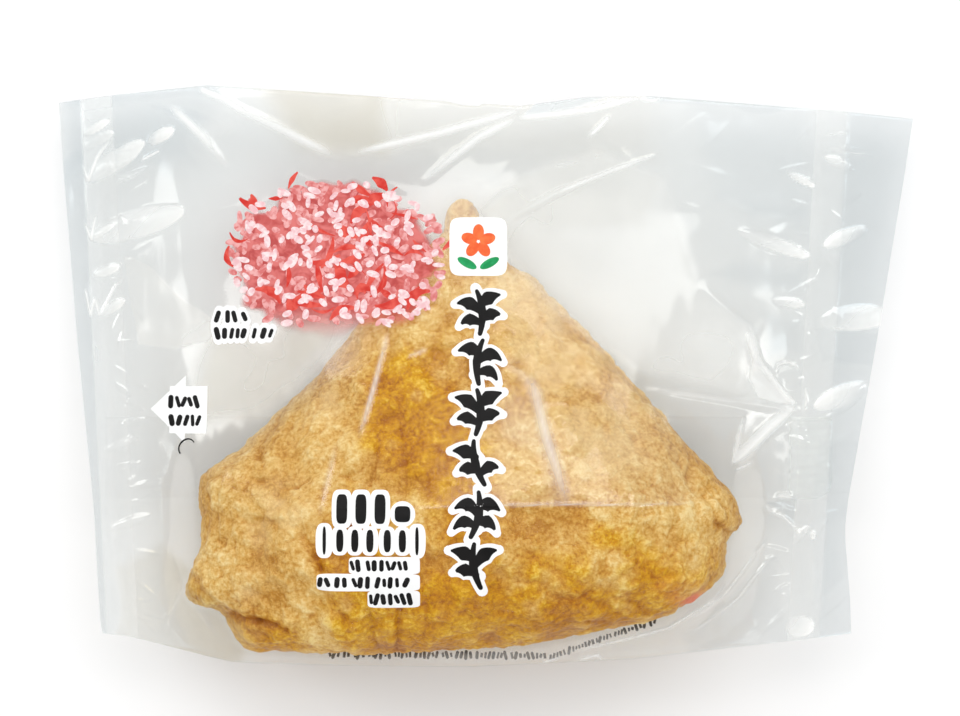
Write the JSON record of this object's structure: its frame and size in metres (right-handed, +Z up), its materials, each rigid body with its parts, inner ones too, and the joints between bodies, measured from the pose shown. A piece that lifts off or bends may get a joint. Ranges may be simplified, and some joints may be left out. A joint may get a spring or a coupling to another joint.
{
  "type": "packed inari sushi",
  "caption": "Triangular inari sushi in a clear, sealed and printed film bag with pressed end seals, lying on its back.",
  "frame": {"origin": "under the middle of the bag, on the surface that it lies on", "axes": "+X from the left end seal to the right one, +Y from the broad base of the inari to its tip, +Z up through the printed front"},
  "size_m": [0.1545, 0.1041, 0.0354],
  "materials": {
    "tofu": "moist, finely pitted simmered tofu skin",
    "film": "clear glossy wrapping film with coloured print"
  },
  "bodies": {
    "root": {"inari": "tofu", "bag": "film"}
  },
  "joints": []
}
